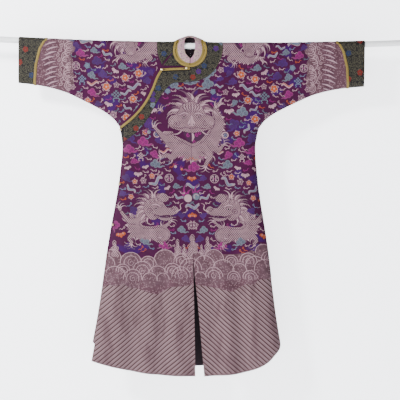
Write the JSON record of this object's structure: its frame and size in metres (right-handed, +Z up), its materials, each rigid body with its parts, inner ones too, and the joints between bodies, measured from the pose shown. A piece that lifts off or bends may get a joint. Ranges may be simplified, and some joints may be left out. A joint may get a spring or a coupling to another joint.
{
  "type": "chinese dragon robe on a hanging rod",
  "caption": "Long side-closing robe with flared skirt, shaped cuffs, dark band and round neck, hung flat on a round rod.",
  "frame": {"origin": "middle of the hanging rod on its axis, at the neck", "axes": "+X to the wearer's left along the rod, -Y out of the robe's front, +Z up"},
  "size_m": [1.8, 0.0798, 1.4152],
  "materials": {
    "silk": "purple silk brocade with dragons, clouds and waves",
    "dark_brocade": "black brocade with pale olive scrolls",
    "gold_braid": "woven gold braid",
    "pale_brocade": "pale lilac brocade",
    "gilt_brass": "worn gilt",
    "dark_cord": "dark silk cord",
    "white_paint": "white satin paint"
  },
  "bodies": {
    "root": {"front_left": "silk", "back_left": "silk", "back_right": "silk", "inner_front": "silk", "outer_lap": "silk", "cuff_left": "dark_brocade", "cuff_right": "dark_brocade", "neck_band_left": "dark_brocade", "neck_band_right": "dark_brocade", "neck_band_under": "dark_brocade", "lap_band": "dark_brocade", "neck_braid": "gold_braid", "lap_braid": "gold_braid", "cuff_braid_left": "gold_braid", "cuff_braid_right": "gold_braid", "neck_facing": "pale_brocade", "button_neck": "gilt_brass", "button_corner": "gilt_brass", "button_armpit": "gilt_brass", "button_side_upper": "gilt_brass", "button_side_lower": "gilt_brass", "loop_neck": "dark_cord", "loop_corner": "dark_cord", "loop_armpit": "dark_cord", "loop_side_upper": "dark_cord", "loop_side_lower": "dark_cord", "rod": "white_paint"}
  },
  "joints": []
}
